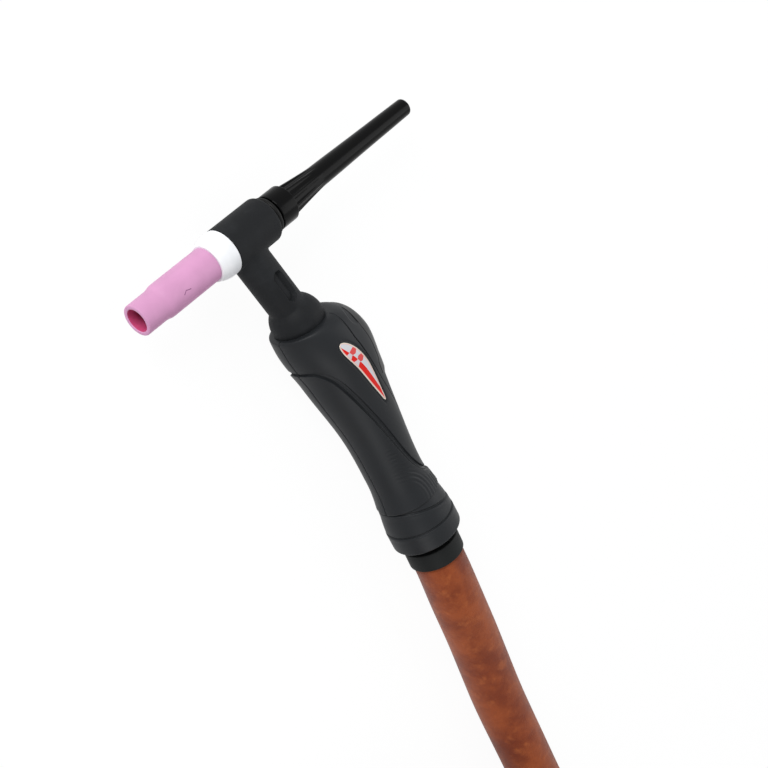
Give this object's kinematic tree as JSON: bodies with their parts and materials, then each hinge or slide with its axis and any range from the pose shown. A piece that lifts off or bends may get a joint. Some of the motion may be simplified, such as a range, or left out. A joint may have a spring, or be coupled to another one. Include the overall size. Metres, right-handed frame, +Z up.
{
  "type": "tig torch",
  "caption": "Air cooled TIG welding torch lying on its side, with gas cup, long back cap, switch grip, ball joint, covered cable in a coil and a plug.",
  "frame": {"origin": "on the electrode's axis where it meets the neck's axis, inside the head", "axes": "+X out of the gas cup along the electrode, +Y from the head towards the cable, +Z up from the surface the torch lies on"},
  "size_m": [0.4217, 0.6225, 0.0542],
  "materials": {
    "cup_ceramic": "matte pink fired alumina",
    "screen_mesh": "fine drilled screens",
    "lens_brass": "turned",
    "collet_copper": "turned copper alloy",
    "insulator_white": "matte white",
    "core_brass": "turned",
    "head_rubber": "matte moulded",
    "tube_brass": "drawn",
    "cap_black": "glossy moulded",
    "insert_brass": "threaded",
    "seal_rubber": "smooth",
    "shell_grey": "satin moulded",
    "spine_grey": "satin moulded",
    "screw_steel": "plated",
    "trigger_black": "smooth satin",
    "pin_steel": "polished",
    "spring_steel": "drawn wire",
    "switch_red": "moulded",
    "plunger_red": "moulded",
    "lead_rubber": "smooth",
    "collar_grey": "satin moulded",
    "ball_black": "glossy moulded",
    "core_cable": "smooth",
    "sleeve_black": "matte",
    "cable_leather": "suede",
    "strap_black": "woven",
    "boot_rubber": "matte moulded",
    "plug_brass": "turned"
  },
  "bodies": {
    "cable": {"joint_ball": "ball_black", "cable_core": "core_cable", "cable_sleeve": "sleeve_black", "cable_free": "cable_leather", "cable_coil": "cable_leather", "cable_tail": "cable_leather", "coil_tie": "strap_black", "plug_boot": "boot_rubber", "plug_body": "plug_brass", "plug_pin": "plug_brass", "gas_spigot": "plug_brass"},
    "handle": {"gas_cup": "cup_ceramic", "lens_screens": "screen_mesh", "gas_lens_body": "lens_brass", "collet": "collet_copper", "insulator_ring": "insulator_white", "head_core": "core_brass", "head_cover": "head_rubber", "neck_tube": "tube_brass", "shell_upper": "shell_grey", "shell_lower": "shell_grey", "back_spine": "spine_grey", "shell_screws": "screw_steel", "microswitch": "switch_red", "lead_coupling": "core_brass", "inner_lead": "lead_rubber", "rear_collar": "collar_grey"},
    "trigger": {"trigger": "trigger_black", "trigger_pin": "pin_steel", "trigger_spring": "spring_steel"},
    "plunger": {"switch_plunger": "plunger_red"},
    "seal": {"cap_seal": "seal_rubber"},
    "back_cap": {"back_cap": "cap_black", "cap_insert": "insert_brass"}
  },
  "joints": [
    {"name": "handle_tilt", "type": "hinge", "parent": "cable", "child": "handle", "pos_m": [-0.02433, 0.17401, 0], "axis": [0, 0, 1], "range_deg": [-14.3, 9.1]},
    {"name": "trigger_press", "type": "hinge", "parent": "handle", "child": "trigger", "pos_m": [-0.03272, 0.08656, 0], "axis": [0, 0, 1], "range_deg": [0, 3.2], "stiffness_Nm_per_rad": 0.5},
    {"name": "plunger_press", "type": "slide", "parent": "handle", "child": "plunger", "axis": [0.999, 0.0436, 0], "range_m": [0, 0.0014]},
    {"name": "seal_slide", "type": "slide", "parent": "handle", "child": "seal", "axis": [-1, 0, 0], "range_m": [0, 0.005]},
    {"name": "cap_turn", "type": "hinge", "parent": "seal", "child": "back_cap", "pos_m": [-0.03, 0, 0], "axis": [-1, 0, 0], "range_deg": [0, 1440]}
  ],
  "couplings": [
    {"joint": "plunger_press", "follows": "trigger_press", "m_per_rad": 0.02},
    {"joint": "cap_turn", "follows": "seal_slide", "rad_per_m": 5026.5}
  ]
}
